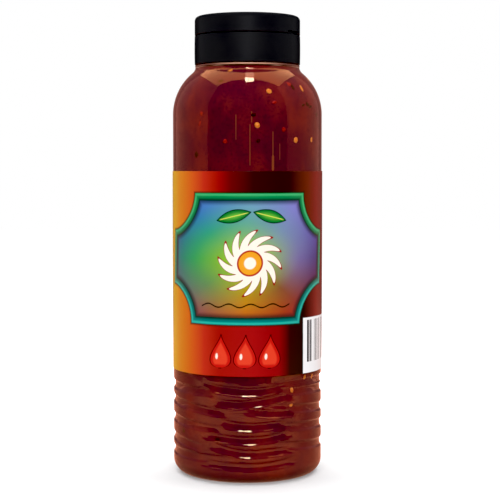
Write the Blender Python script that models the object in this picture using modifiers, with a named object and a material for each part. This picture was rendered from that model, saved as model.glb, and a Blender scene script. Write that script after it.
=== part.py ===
"""A one-litre clear squeeze bottle of chilli sauce, with a wrap-round label and a shut flip-top cap.

Metres, +Z up. The bottle stands on the origin, on the middle of its base, and its front faces -Y.
Azimuths are degrees round the axis from the front, positive towards +X.
"""

import math

import bmesh
import bpy
import numpy as np
from mathutils import Matrix

MM = 0.001
ROUND_STEPS = 40
GAP = 0.3 * MM

# The bottle: its outside form and its wall
BODY_RADIUS = 39.8 * MM
WALL = 1.5 * MM
HEEL_RADIUS = 8.0 * MM
FOOT_RING_INNER = 27.0 * MM
BASE_RISE = 3.0 * MM
SHOULDER_START = 192.0 * MM
SHOULDER_RADIUS = 28.5 * MM
SHOULDER_TURN = 50.5
NECK_RADIUS = 27.7 * MM
NECK_TOP = 218.1 * MM
MOUTH_RADIUS = 25.0 * MM
MOUTH_TOP = 231.9 * MM
SAUCE_LEVEL = 216.3 * MM

# The grip: wavy grooves pressed into the lower body, each with a ledge along its lower side
GRIP_BOTTOM = 6.6 * MM
GRIP_TOP = 54.2 * MM
GRIP_ROW = 1.4 * MM
GROOVE_DEPTH = 1.1 * MM
GROOVE_ABOVE = 2.3 * MM
GROOVE_BELOW = 3.7 * MM
LEDGE_POWER = 3.2
GROOVE_TAPER = 14.0
# First azimuth, last azimuth, and the groove's heights in millimetres at equal steps between them
GROOVES = (
    (-38.0, 337.0, (50.3, 50.4, 50.8, 50.3, 49.3, 48.2, 47.5, 46.6)),
    (-26.0, 341.0, (42.8, 45.2, 45.8, 44.6, 43.2, 41.8, 40.6, 36.8)),
    (-4.0, 400.0, (38.7, 38.6, 37.8, 36.0, 34.4, 32.4, 30.6, 26.6, 25.3)),
    (-22.0, 320.0, (31.8, 30.8, 27.4, 25.6, 24.2, 22.6, 20.6, 19.7)),
    (-32.0, 152.0, (19.4, 19.0, 18.0, 17.4)),
    (-60.0, 42.0, (11.9, 11.9)),
    (118.0, 262.0, (11.2, 11.6)),
    (168.0, 286.0, (17.4, 14.6)),
    (134.0, 232.0, (30.2, 28.6)),
)

# The label round the body
LABEL_CLEARANCE = 0.2 * MM
LABEL_THICKNESS = 0.2 * MM
LABEL_BOTTOM = 56.6 * MM
LABEL_TOP = 162.0 * MM

# The cap: a skirt over the mouth, and the lid shut on it
CAP_EDGE_RADIUS = 28.1 * MM
CAP_WAIST_RADIUS = 28.3 * MM
CAP_TOP = 244.0 * MM
CAP_SEAM = 233.9 * MM
CAP_CORNER = 2.3 * MM
SEAM_CHAMFER = 0.3 * MM
DECK_THICKNESS = 1.55 * MM
LID_WALL = 2.6 * MM

# The thumb notch in the lid's lower edge, and the hinge across from it
NOTCH_AZIMUTH = 60.0
NOTCH_WIDTH = 10.0 * MM
NOTCH_HEIGHT = 1.7 * MM
NOTCH_DEPTH = 1.5 * MM
HINGE_AZIMUTH = NOTCH_AZIMUTH + 180.0
HINGE_WIDTH = 15.0 * MM
HINGE_HEIGHT = 5.0 * MM
HINGE_POCKET = 1.3 * MM
STRAP_THICKNESS = 0.6 * MM


def arc(centre, radius, start, end, count):
    """Points on a circle in the profile's plane, from one angle to another, both ends included."""
    angles = np.radians(np.linspace(start, end, count))
    return [(centre[0] + radius * math.cos(a), centre[1] + radius * math.sin(a)) for a in angles]


def body_side(inset, side_rows=()):
    """The body's profile from the neck down to the middle of the base, set in by a wall's thickness."""
    shoulder_centre = (BODY_RADIUS - SHOULDER_RADIUS, SHOULDER_START)
    turn = math.radians(SHOULDER_TURN)
    shoulder_end = shoulder_centre[0] + SHOULDER_RADIUS * math.cos(turn)
    fillet = (shoulder_end - NECK_RADIUS) / (1 - math.cos(turn))
    reach = SHOULDER_RADIUS + fillet
    fillet_centre = (
        shoulder_centre[0] + reach * math.cos(turn),
        shoulder_centre[1] + reach * math.sin(turn),
    )
    heel_centre = (BODY_RADIUS - HEEL_RADIUS, HEEL_RADIUS)
    side = arc(fillet_centre, fillet + inset, 180, 180 + SHOULDER_TURN, 5)[:-1]
    side += arc(shoulder_centre, SHOULDER_RADIUS - inset, SHOULDER_TURN, 0, 9)
    side += [(BODY_RADIUS - inset, height) for height in side_rows]
    side += arc(heel_centre, HEEL_RADIUS - inset, 0, -90, 6)
    for share in (1.0, 0.75, 0.5, 0.25, 0.0):
        side.append((FOOT_RING_INNER * share, inset + BASE_RISE * (1 - share**2)))
    return side


def spline(knots, where):
    """A smooth curve's value at each place from 0 to 1, through knots that are equally far apart."""
    values = np.array([2 * knots[0] - knots[1], *knots, 2 * knots[-1] - knots[-2]])
    place = np.clip(where, 0, 1) * (len(knots) - 1)
    first = np.minimum(place.astype(int), len(knots) - 2)
    t = place - first
    p0, p1, p2, p3 = (values[first + i] for i in range(4))
    bend = (2 * p0 - 5 * p1 + 4 * p2 - p3) * t**2 + (3 * (p1 - p2) + p3 - p0) * t**3
    return 0.5 * (2 * p1 + (p2 - p0) * t + bend)


def groove_section(above):
    """How deep a groove is, from 0 to 1, at a height above its middle line.

    Its upper side eases out to the wall, and its lower side runs out ever more steeply, to a ledge."""
    upper = np.cos(np.pi / 2 * np.clip(above / GROOVE_ABOVE, 0, 1)) ** 2
    lower = 1 - np.clip(-above / GROOVE_BELOW, 0, 1) ** LEDGE_POWER
    return np.where(above > 0, upper, lower)


def grip_depth(azimuth, height):
    """How far the grip is pressed in at each azimuth in degrees and height in metres."""
    deepest = np.zeros(np.broadcast(azimuth, height).shape)
    for first, last, heights in GROOVES:
        for turn in (-360.0, 0.0, 360.0):
            place = azimuth + turn
            line = spline(np.array(heights) * MM, (place - first) / (last - first))
            inside = np.minimum(place - first, last - place) / GROOVE_TAPER
            ease = np.clip(inside, 0, 1)
            ends = ease**2 * (3 - 2 * ease)
            deepest = np.maximum(deepest, GROOVE_DEPTH * ends * groove_section(height - line))
    return deepest


def material(name, colour, roughness, alpha=1.0):
    """A plain plastic, paper or sauce finish."""
    made = bpy.data.materials.new(name)
    made.use_nodes = True
    shader = made.node_tree.nodes["Principled BSDF"]
    shader.inputs["Base Color"].default_value = (*colour, 1.0)
    shader.inputs["Roughness"].default_value = roughness
    shader.inputs["Metallic"].default_value = 0.0
    shader.inputs["Alpha"].default_value = alpha
    made.diffuse_color = (*colour, alpha)
    return made


def add_object(name, mesh, collection, finish=None):
    """An object of this mesh, linked to the collection and given its finish."""
    made = bpy.data.objects.new(name, mesh)
    collection.objects.link(made)
    if finish:
        mesh.materials.append(finish)
    return made


def turned(name, profile, collection, finish, closed=False):
    """A turned piece: the profile, swept once round the axis by a Screw modifier."""
    mesh = bpy.data.meshes.new(name)
    count = len(profile)
    edges = [(i, (i + 1) % count) for i in range(count if closed else count - 1)]
    mesh.from_pydata([(radius, 0.0, height) for radius, height in profile], edges, [])
    piece = add_object(name, mesh, collection, finish)
    screw = piece.modifiers.new("Turn", "SCREW")
    screw.steps = ROUND_STEPS
    screw.render_steps = ROUND_STEPS
    screw.use_merge_vertices = True
    screw.merge_threshold = 0.00002
    screw.use_smooth_shade = True
    return piece


def apply_turning(piece):
    """The piece with its Screw made into faces, so that its points can be moved."""
    bpy.context.view_layer.update()
    graph = bpy.context.evaluated_depsgraph_get()
    faces = bpy.data.meshes.new_from_object(piece.evaluated_get(graph))
    piece.modifiers.clear()
    piece.data = faces
    return faces


def block(name, size, collection):
    """A box of this size, centred on its own origin."""
    shape = bmesh.new()
    bmesh.ops.create_cube(shape, size=1.0, matrix=Matrix.Diagonal((*size, 1.0)))
    mesh = bpy.data.meshes.new(name)
    shape.to_mesh(mesh)
    shape.free()
    return add_object(name, mesh, collection)


def stand_at(piece, azimuth, radius, height):
    """The piece put at this azimuth, distance from the axis and height, with its -Y side facing out."""
    angle = math.radians(azimuth)
    piece.location = (radius * math.sin(angle), -radius * math.cos(angle), height)
    piece.rotation_euler = (0.0, 0.0, angle)


def cut(piece, cutter):
    """The cutter taken away from the piece."""
    cutter.hide_render = True
    cutter.display_type = "WIRE"
    boolean = piece.modifiers.new("Cut", "BOOLEAN")
    boolean.operation = "DIFFERENCE"
    boolean.object = cutter
    boolean.solver = "EXACT"


def bottle(collection):
    """The clear blown bottle: one hollow wall, open at the mouth, with the grip pressed into it."""
    inner_mouth = MOUTH_RADIUS - WALL
    inside = body_side(WALL)[::-1]
    inside += [(NECK_RADIUS - WALL, NECK_TOP - WALL), (inner_mouth, NECK_TOP - WALL)]
    rim = [(inner_mouth, MOUTH_TOP), (MOUTH_RADIUS, MOUTH_TOP)]
    ledge = [(MOUTH_RADIUS, NECK_TOP), (NECK_RADIUS, NECK_TOP)]
    rows = np.arange(GRIP_TOP, HEEL_RADIUS + GRIP_ROW / 2, -GRIP_ROW)
    profile = inside + rim + ledge + body_side(0.0, rows)
    finish = material("clear_plastic", (0.86, 0.80, 0.78), 0.06, alpha=0.3)
    piece = turned("bottle", profile, collection, finish)
    mesh = apply_turning(piece)
    for vertex in mesh.vertices:
        x, y, height = vertex.co
        radius = math.hypot(x, y)
        on_outside = radius > BODY_RADIUS - WALL / 2 and GRIP_BOTTOM < height <= GRIP_TOP
        if on_outside:
            azimuth = math.degrees(math.atan2(x, -y))
            share = 1 - float(grip_depth(np.array(azimuth), np.array(height))) / radius
            vertex.co = (x * share, y * share, height)
    return piece


def sauce(collection):
    """The sauce: one solid that fills the bottle up to the neck."""
    inset = WALL + GAP
    side = [point for point in body_side(inset) if point[1] < SAUCE_LEVEL]
    profile = [(0.0, SAUCE_LEVEL), (side[0][0], SAUCE_LEVEL), *side]
    finish = material("chilli_sauce", (0.16, 0.012, 0.006), 0.45)
    return turned("sauce", profile, collection, finish)


def label(collection):
    """The printed label: a thin sleeve once round the body."""
    inner = BODY_RADIUS + LABEL_CLEARANCE
    outer = inner + LABEL_THICKNESS
    profile = [(outer, LABEL_TOP), (outer, LABEL_BOTTOM), (inner, LABEL_BOTTOM), (inner, LABEL_TOP)]
    finish = material("printed_label", (0.42, 0.05, 0.02), 0.3)
    return turned("label", profile, collection, finish, closed=True)


def cap_skirt(collection, finish):
    """The cap's lower part: a skirt round the mouth, closed by a deck."""
    bottom = NECK_TOP + GAP
    top = CAP_SEAM - GAP / 2
    inner = MOUTH_RADIUS + GAP
    waist = (bottom + top) / 2
    profile = [
        (0.0, top),
        (CAP_EDGE_RADIUS - SEAM_CHAMFER, top),
        (CAP_EDGE_RADIUS, top - SEAM_CHAMFER),
        (CAP_WAIST_RADIUS, waist),
        (CAP_EDGE_RADIUS, bottom + SEAM_CHAMFER),
        (CAP_EDGE_RADIUS - SEAM_CHAMFER, bottom),
        (inner, bottom),
        (inner, top - DECK_THICKNESS),
        (0.0, top - DECK_THICKNESS),
    ]
    return turned("cap_skirt", profile, collection, finish)


def cap_lid(collection, finish):
    """The cap's lid: a shallow cup upside down, with a rounded top edge."""
    bottom = CAP_SEAM + GAP / 2
    inner = CAP_EDGE_RADIUS - LID_WALL
    corner = (CAP_EDGE_RADIUS - CAP_CORNER, CAP_TOP - CAP_CORNER)
    profile = [(0.0, CAP_TOP), *arc(corner, CAP_CORNER, 90, 0, 6)]
    profile += [
        (CAP_EDGE_RADIUS, bottom + SEAM_CHAMFER),
        (CAP_EDGE_RADIUS - SEAM_CHAMFER, bottom),
        (inner, bottom),
        (inner, CAP_TOP - LID_WALL),
        (0.0, CAP_TOP - LID_WALL),
    ]
    return turned("cap_lid", profile, collection, finish)


def thumb_notch(lid, cutters):
    """The slot under the lid's edge that a thumb lifts it by."""
    size = (NOTCH_WIDTH, 2 * NOTCH_DEPTH, 2 * NOTCH_HEIGHT)
    cutter = block("thumb_notch_cutter", size, cutters)
    stand_at(cutter, NOTCH_AZIMUTH, CAP_EDGE_RADIUS, CAP_SEAM)
    cut(lid, cutter)


def cap_hinge(skirt, lid, collection, cutters, finish):
    """The thin strap behind that joins lid and skirt, lying in a shallow pocket across the seam."""
    size = (HINGE_WIDTH, 2 * HINGE_POCKET, HINGE_HEIGHT)
    cutter = block("hinge_pocket_cutter", size, cutters)
    stand_at(cutter, HINGE_AZIMUTH, CAP_EDGE_RADIUS, CAP_SEAM)
    cut(skirt, cutter)
    cut(lid, cutter)
    strap_size = (HINGE_WIDTH - 2 * GAP, STRAP_THICKNESS, HINGE_HEIGHT - 2 * GAP)
    strap = block("cap_hinge", strap_size, collection)
    strap.data.materials.append(finish)
    from_axis = CAP_EDGE_RADIUS - HINGE_POCKET + GAP + STRAP_THICKNESS / 2
    stand_at(strap, HINGE_AZIMUTH, from_axis, CAP_SEAM)
    return strap


def main():
    for old in list(bpy.data.objects):
        bpy.data.objects.remove(old, do_unlink=True)
    collections = []
    for name in ("chilli_sauce_bottle", "cutters"):
        collection = bpy.data.collections.new(name)
        bpy.context.scene.collection.children.link(collection)
        collections.append(collection)
    parts, cutters = collections
    black = material("black_plastic", (0.012, 0.012, 0.013), 0.35)
    bottle(parts)
    sauce(parts)
    label(parts)
    skirt = cap_skirt(parts, black)
    lid = cap_lid(parts, black)
    thumb_notch(lid, cutters)
    cap_hinge(skirt, lid, parts, cutters, black)


main()
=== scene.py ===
# %% [markdown]
# A bottle of chilli sauce, from plain solids to a finished picture
#
# The real thing is a clear squeeze bottle, blown from one piece of plastic and filled to the neck with
# a thick red sauce. A printed film goes once round its body, wavy grooves below it give a wet hand
# something to hold, and a shut black flip-top cap closes it.
#
# The solids come in as a fixed frame. They are right in size and place, but they are coarse. So each of
# them is made again here as a fine surface over the same sizes, and gets a finish of its own.

import math

import bpy
import numpy as np
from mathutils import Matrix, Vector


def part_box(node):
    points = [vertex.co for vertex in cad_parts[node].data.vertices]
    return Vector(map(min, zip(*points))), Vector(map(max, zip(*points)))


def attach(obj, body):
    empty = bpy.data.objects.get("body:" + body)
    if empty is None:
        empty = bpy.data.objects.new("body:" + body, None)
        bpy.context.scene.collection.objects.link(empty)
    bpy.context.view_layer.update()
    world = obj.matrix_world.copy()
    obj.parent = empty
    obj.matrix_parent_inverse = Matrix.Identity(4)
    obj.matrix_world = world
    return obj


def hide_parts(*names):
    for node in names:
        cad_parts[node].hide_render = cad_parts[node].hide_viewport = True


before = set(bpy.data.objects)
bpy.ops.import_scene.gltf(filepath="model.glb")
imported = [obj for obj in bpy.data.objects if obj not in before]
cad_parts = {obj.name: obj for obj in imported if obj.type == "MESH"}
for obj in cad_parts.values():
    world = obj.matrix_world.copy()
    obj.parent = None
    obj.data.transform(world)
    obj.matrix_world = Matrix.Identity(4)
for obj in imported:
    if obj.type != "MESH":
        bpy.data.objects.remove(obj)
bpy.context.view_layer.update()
MM = 0.001

# %% [markdown]
# Sizes
#
# What the frame can say is read from it, so that the fine pieces follow the solids. The curves between
# those sizes are the bottle maker's own choices, and they are written down as millimetres.

# %% Sizes
BODY_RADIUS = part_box("bottle")[1].x
MOUTH_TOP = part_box("bottle")[1].z
SAUCE_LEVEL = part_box("sauce")[1].z
LABEL_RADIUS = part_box("label")[1].x
LABEL_BOTTOM, LABEL_TOP = (corner.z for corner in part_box("label"))
SKIRT_BOTTOM, SKIRT_TOP = (corner.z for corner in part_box("cap_skirt"))
LID_BOTTOM, CAP_TOP = (corner.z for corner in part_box("cap_lid"))
CAP_SEAM = (SKIRT_TOP + LID_BOTTOM) / 2

WALL = 1.5 * MM
SAUCE_INSET = 1.1 * MM
HEEL_RADIUS = 8.0 * MM
FOOT_RING_INNER = 27.0 * MM
BASE_RISE = 3.0 * MM
SHOULDER_START = 192.0 * MM
SHOULDER_RADIUS = 28.5 * MM
SHOULDER_TURN = 50.5
NECK_RADIUS = 27.7 * MM
NECK_TOP = 218.1 * MM
NECK_BEAD = 0.8 * MM
MOUTH_RADIUS = 25.0 * MM
CAP_RADIUS = 28.1 * MM
print("body", round(BODY_RADIUS, 4), "label", round(LABEL_RADIUS, 4), "cap seam", round(CAP_SEAM, 4))

# %% [markdown]
# Outlines
#
# A bottle is a turned form, so it is drawn as a potter would see it: half an outline, which is then
# carried round the axis. The outline is a chain of arcs and straight runs, each cut into short steps.
# A short step costs faces, so it is only used where light will run over a curve.


# %% Arcs and straight runs
def arc(centre, radius, start, end, step=0.6 * MM):
    """Points (radius, height) on centre + radius * (cos a, sin a), with a from start to end degrees."""
    count = max(4, round(abs(math.radians(end - start)) * radius / step) + 1)
    angle = np.radians(np.linspace(start, end, count))
    return np.stack([centre[0] + radius * np.cos(angle), centre[1] + radius * np.sin(angle)], axis=1)


def straight(start, end, step):
    """Points from start to end at equal steps: start + (end - start) * t, with t from 0 to 1."""
    start, end = np.array(start), np.array(end)
    count = max(2, round(float(np.linalg.norm(end - start)) / step) + 1)
    return start + (end - start) * np.linspace(0, 1, count)[:, None]


def chain(*runs):
    """One outline of several runs of points. A point that repeats the one before it is dropped."""
    joined = np.concatenate([np.atleast_2d(run) for run in runs])
    new = np.linalg.norm(np.diff(joined, axis=0), axis=1) > 1e-7
    return joined[np.concatenate([[True], new])]


# %% [markdown]
# The bottle's outline
#
# From the neck a small fillet runs out into the round shoulder, the side drops straight to the heel,
# and the base rises in a shallow dome inside its foot ring, as a blown base does to stand firmly. The
# same function gives the inner side of the wall and the sauce, each set in by its own amount.

# %% The outline of the body
GRIP_TOP = 54.2 * MM
GRIP_BOTTOM = 6.6 * MM


def body_outline(inset, grip_step):
    """The outline from the neck to the middle of the base, set in from the outside by inset.

    The fillet's radius is the one that meets neck and shoulder without a kink:
    (shoulder's end radius - neck radius) / (1 - cos(turn)). The dome is z = rise * (1 - share^2)."""
    turn = math.radians(SHOULDER_TURN)
    shoulder = (BODY_RADIUS - SHOULDER_RADIUS, SHOULDER_START)
    fillet = (shoulder[0] + SHOULDER_RADIUS * math.cos(turn) - NECK_RADIUS) / (1 - math.cos(turn))
    reach = SHOULDER_RADIUS + fillet
    neck = (shoulder[0] + reach * math.cos(turn), shoulder[1] + reach * math.sin(turn))
    heel = (BODY_RADIUS - HEEL_RADIUS, HEEL_RADIUS)
    side = BODY_RADIUS - inset
    share = np.linspace(1, 0, 12)
    dome = np.stack([FOOT_RING_INNER * share, inset + BASE_RISE * (1 - share**2)], axis=1)
    return chain(
        arc(neck, fillet + inset, 180, 180 + SHOULDER_TURN, 0.5 * MM),
        arc(shoulder, SHOULDER_RADIUS - inset, SHOULDER_TURN, 0, 0.7 * MM),
        straight((side, SHOULDER_START), (side, GRIP_TOP), 5 * MM),
        straight((side, GRIP_TOP), (side, HEEL_RADIUS), grip_step),
        arc(heel, HEEL_RADIUS - inset, 0, -90, max(0.5 * MM, grip_step)),
        dome,
    )


print("outline points:", len(body_outline(0.0, 0.35 * MM)))

# %% [markdown]
# The grip
#
# Rows of shallow dents wander round the lower body. They could be modelled as separate cutters, but a
# dent here is only a change of radius, so it is worked out as a depth at each azimuth and height. It is a
# wide bowl that ends below in a ledge of about 45 degrees, which faces the ceiling and so draws a white
# line. The ledges in front curve up at their ends, which makes those white lines longer.

# %% The grooves
GROOVE_ABOVE = 1.7 * MM
GROOVE_BELOW = 3.9 * MM
BOWL_DEPTH = 0.40 * MM
BOWL_POWER = 1.5
LEDGE_DEPTH = 0.80 * MM
LEDGE_POWER = 1.04
LEDGE_HEIGHT = 0.95 * MM
GROOVE_TAPER = 12.0
# First azimuth, last azimuth, share of the depth, and the ledge's heights in mm at equal steps between
GROOVES = (
    (-36.0, 36.0, 1.0, (48.9, 47.3, 46.4, 45.9, 46.2, 47.3, 49.2)),
    (-27.0, 39.0, 1.0, (40.6, 39.5, 39.4, 40.2, 41.3, 42.4, 43.2)),
    (-4.0, 42.0, 1.0, (37.4, 35.9, 35.0, 34.5, 34.3, 34.3, 34.7)),
    (-25.0, 36.0, 1.0, (31.2, 29.0, 28.0, 27.7, 28.1, 28.3, 27.6)),
    (-38.0, 38.0, 1.0, (23.4, 22.0, 21.1, 20.7, 21.1, 22.4, 24.2)),
    (-32.0, 41.0, 1.0, (18.8, 16.0, 14.4, 13.8, 14.2, 14.7, 15.2)),
    (-40.0, 43.0, 1.0, (8.6, 7.8, 7.2, 6.8, 7.2, 8.3, 10.0)),
    (18.0, 335.0, 0.8, (49.3, 49.2, 47.8, 47.0, 46.4, 46.0, 45.5, 45.1)),
    (18.0, 348.0, 0.8, (45.9, 44.8, 42.8, 41.4, 40.2, 39.0, 37.0, 34.2)),
    (12.0, 346.0, 0.8, (38.0, 35.0, 32.6, 31.2, 29.8, 28.6, 27.6, 25.4)),
    (16.0, 327.0, 0.8, (27.6, 25.6, 22.6, 21.0, 19.8, 18.2, 15.2)),
    (20.0, 200.0, 0.8, (17.8, 14.6, 12.4, 11.6)),
    (168.0, 354.0, 0.8, (12.4, 11.4, 10.6, 10.5)),
)


def spline(knots, where):
    """A smooth curve's value at each place from 0 to 1, through knots that are equally far apart."""
    values = np.array([2 * knots[0] - knots[1], *knots, 2 * knots[-1] - knots[-2]])
    place = np.clip(where, 0, 1) * (len(knots) - 1)
    first = np.minimum(place.astype(int), len(knots) - 2)
    t = place - first
    p0, p1, p2, p3 = (values[first + i] for i in range(4))
    bend = (2 * p0 - 5 * p1 + 4 * p2 - p3) * t**2 + (3 * (p1 - p2) + p3 - p0) * t**3
    return 0.5 * (2 * p1 + (p2 - p0) * t + bend)


def groove_section(above):
    """How deep a groove is at a height above its ledge's lower edge.

    The bowl is depth * (1 - share^1.5) below its deepest line and depth * cos^2 above it, and the ledge
    rises under it as height^power."""
    deep = BOWL_DEPTH + LEDGE_DEPTH
    upper = deep * np.cos(np.pi / 2 * np.clip((above - GROOVE_BELOW) / GROOVE_ABOVE, 0, 1)) ** 2
    share = np.clip(1 - above / GROOVE_BELOW, 0, 1)
    ledge = LEDGE_DEPTH * np.clip(above / LEDGE_HEIGHT, 0, 1) ** LEDGE_POWER
    return np.where(above > GROOVE_BELOW, upper, BOWL_DEPTH * (1 - share**BOWL_POWER) + ledge)


def grip_depth(azimuth, height):
    """How far the grip is pressed in at each azimuth in degrees and height in metres."""
    deepest = np.zeros(np.broadcast(azimuth, height).shape)
    for first, last, amount, heights in GROOVES:
        for turn in (-360.0, 0.0, 360.0):
            place = azimuth + turn
            ledge = spline(np.array(heights) * MM, (place - first) / (last - first))
            inside = np.minimum(place - first, last - place) / GROOVE_TAPER
            ease = np.clip(inside, 0, 1)
            ends = amount * ease**2 * (3 - 2 * ease)
            deepest = np.maximum(deepest, ends * groove_section(height - ledge))
    return deepest


# %% [markdown]
# From points to a mesh
#
# Every piece below is a grid of points: rows along the outline, columns round the axis. Neighbouring
# points make a face of four corners, and an end that closes on the axis gets one pole point with a fan
# of triangles. The points are worked out as whole arrays, which is quick even for a hundred thousand.


# %% A skin over rings of points
def mesh_object(name, points, faces, material, sharp=35.0):
    """An object of these points and faces, shaded smooth except over edges sharper than this angle."""
    corners = np.concatenate([np.ravel(block) for block in faces]).astype(np.int32)
    sizes = np.concatenate([np.full(len(block), block.shape[1]) for block in faces])
    mesh = bpy.data.meshes.new(name)
    mesh.vertices.add(len(points))
    mesh.vertices.foreach_set("co", np.asarray(points, np.float32).ravel())
    mesh.loops.add(len(corners))
    mesh.loops.foreach_set("vertex_index", corners)
    mesh.polygons.add(len(sizes))
    mesh.polygons.foreach_set("loop_start", (np.cumsum(sizes) - sizes).astype(np.int32))
    mesh.update(calc_edges=True)
    mesh.validate()
    mesh.shade_smooth()
    mesh.set_sharp_from_angle(angle=math.radians(sharp))
    mesh.materials.append(material)
    piece = bpy.data.objects.new(name, mesh)
    bpy.context.scene.collection.objects.link(piece)
    return piece


def turned_points(radius, height, columns):
    """Points (row, column, 3) round the axis: x = r * sin(azimuth), y = -r * cos(azimuth), z = height."""
    azimuth = np.radians(columns)
    radius, height, azimuth = np.broadcast_arrays(radius, height, azimuth)
    return np.stack([radius * np.sin(azimuth), -radius * np.cos(azimuth), height], axis=-1)


def skin(rings, first_pole=None, last_pole=None, closed=False):
    """Points and faces through rings that each go once round. A pole closes an end, and closed joins
    the last ring to the first. Faces look outwards where the rings run down the outer side."""
    rows, columns = rings.shape[:2]
    here = np.arange(rows * columns).reshape(rows, columns)
    upper, lower = (here, np.roll(here, -1, axis=0)) if closed else (here[:-1], here[1:])
    right_upper, right_lower = np.roll(upper, -1, axis=1), np.roll(lower, -1, axis=1)
    faces = [np.stack([upper, lower, right_lower, right_upper], axis=-1).reshape(-1, 4)]
    points = [rings.reshape(-1, 3)]
    for pole, ring, turn in ((first_pole, here[0], 1), (last_pole, here[-1], -1)):
        if pole is not None:
            index = np.full(columns, sum(len(block) for block in points))
            faces.append(np.stack([index, ring, np.roll(ring, -1)][::turn], axis=-1))
            points.append(np.array([pole]))
    return np.concatenate(points), faces


def columns_round(count):
    """Azimuths in degrees of this many columns once round."""
    return np.arange(count) * 360.0 / count


# %% [markdown]
# Shader maths as plain expressions
#
# A finish is a small calculation done at every point of a surface. Drawn as boxes and wires it is hard
# to read, so one class lets Python's own signs add the Math nodes, and one method adds any other node.


# %% The wire class
class Wire:
    """An output socket in a material. Python's operators on it add Math nodes."""

    def __init__(self, tree, socket=None):
        self.tree = tree
        self.socket = socket

    def node(self, kind, inputs=(), output=0, **settings):
        """Any other node of this kind: its settings first, then its sockets by name or number."""
        made = self.tree.nodes.new(kind)
        stops = settings.pop("stops", None)
        for name, value in settings.items():
            setattr(made, name, value)
        if stops:
            ramp = made.color_ramp.elements
            while len(ramp) < len(stops):
                ramp.new(1.0)
            for element, (place, colour) in zip(ramp, stops):
                element.position = place
                element.color = colour
        for place, value in dict(inputs).items():
            if isinstance(value, Wire):
                self.tree.links.new(value.socket, made.inputs[place])
            else:
                made.inputs[place].default_value = value
        return Wire(self.tree, made.outputs[output])

    def math(self, operation, *others):
        """A Math node on this wire and the others."""
        return self.node("ShaderNodeMath", enumerate((self, *others)), operation=operation)

    def __add__(self, other):
        return self.math("ADD", other)

    def __sub__(self, other):
        return self.math("SUBTRACT", other)

    def __rsub__(self, other):
        return self.node("ShaderNodeMath", enumerate((other, self)), operation="SUBTRACT")

    def __mul__(self, other):
        return self.math("MULTIPLY", other)

    def __truediv__(self, other):
        return self.math("DIVIDE", other)

    def __rtruediv__(self, other):
        return self.node("ShaderNodeMath", enumerate((other, self)), operation="DIVIDE")

    def __pow__(self, other):
        return self.math("POWER", other)

    def __neg__(self):
        return self * -1.0

    def __abs__(self):
        return self.math("ABSOLUTE")

    __radd__ = __add__
    __rmul__ = __mul__

    def axes(self):
        """The x, y and z of a vector."""
        outputs = self.node("ShaderNodeSeparateXYZ", {0: self}).socket.node.outputs
        return [Wire(self.tree, socket) for socket in outputs]

    def step(self, start, end):
        """0 up to start, 1 from end on, and smooth between. With start above end it falls instead."""
        sockets = {"Value": self, "From Min": start, "From Max": end}
        return self.node("ShaderNodeMapRange", sockets, interpolation_type="SMOOTHSTEP")

    def over(self, under, colour):
        """The colour laid over another, as much as this wire says."""
        sockets = {0: self, 6: under, 7: colour}
        return self.node("ShaderNodeMix", sockets, output=2, data_type="RGBA")

    def into(self, shader, socket):
        """This wire linked to a shader's socket."""
        self.tree.links.new(self.socket, shader.inputs[socket])


def least(first, *others):
    """The smallest of several wires or numbers."""
    for other in others:
        first = first.math("MINIMUM", other)
    return first


def most(first, *others):
    """The largest of several wires or numbers."""
    for other in others:
        first = first.math("MAXIMUM", other)
    return first


def ink(red, green, blue):
    """A colour as printers and screens give it, 0 to 255, as the linear colour that nodes use."""
    shares = [value / 255 for value in (red, green, blue)]
    return (*[s / 12.92 if s <= 0.04045 else ((s + 0.055) / 1.055) ** 2.4 for s in shares], 1.0)


def blotches(at, size, detail=2.0, stretch=(1.0, 1.0, 1.0)):
    """Smooth random values round 0.5. A blotch is about size metres, times stretch along each axis."""
    scale = [1 / (size * share) for share in stretch]
    place = at.node("ShaderNodeMapping", {"Vector": at, "Scale": scale})
    return place.node("ShaderNodeTexNoise", {"Vector": place, "Scale": 1.0, "Detail": detail})


def bumps(height, distance):
    """A Normal for a surface that this height, 0 to 1, raises by up to distance metres."""
    return height.node("ShaderNodeBump", {"Height": height, "Distance": distance, "Strength": 1.0})


def new_finish(name, **constants):
    """A material, its main shader with these constant sockets, and a wire of its Object coordinates."""
    made = bpy.data.materials.new(name)
    made.use_nodes = True
    shader = made.node_tree.nodes["Principled BSDF"]
    for socket, value in constants.items():
        shader.inputs[socket.replace("_", " ")].default_value = value
    at = Wire(made.node_tree).node("ShaderNodeTexCoord", output="Object")
    return made, shader, at


# %% [markdown]
# Clear plastic
#
# The wall is clear, thin and glossy, and it lies wet against the sauce. It is a true transmitting
# plastic here, so that the sauce fills it to its very edge, as the bend of light does in the real one.
# Light that looks for the sauce goes straight through the wall, which keeps the picture free of grain.
# Faint waves from the blowing keep its reflections from looking like glass.


# %% Clear plastic
def clear_plastic():
    made, shader, at = new_finish(
        "clear_plastic",
        Base_Color=(1.0, 0.96, 0.93, 1.0),
        Roughness=0.03,
        IOR=1.5,
        Specular_Tint=(1.0, 0.50, 0.20, 1.0),
        Transmission_Weight=1.0,
    )
    waves = blotches(at, 9 * MM, 1.0)
    bumps(waves, 0.05 * MM).into(shader, "Normal")
    tree = made.node_tree
    straight_through = tree.nodes.new("ShaderNodeBsdfTransparent")
    mixed = tree.nodes.new("ShaderNodeMixShader")
    shadow = at.node("ShaderNodeLightPath", output="Is Shadow Ray")
    tree.links.new(shadow.socket, mixed.inputs[0])
    tree.links.new(shader.outputs[0], mixed.inputs[1])
    tree.links.new(straight_through.outputs[0], mixed.inputs[2])
    tree.links.new(mixed.outputs[0], tree.nodes["Material Output"].inputs["Surface"])
    return made


CLEAR_PLASTIC = clear_plastic()
print("clear plastic has", len(CLEAR_PLASTIC.node_tree.nodes), "nodes")

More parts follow.
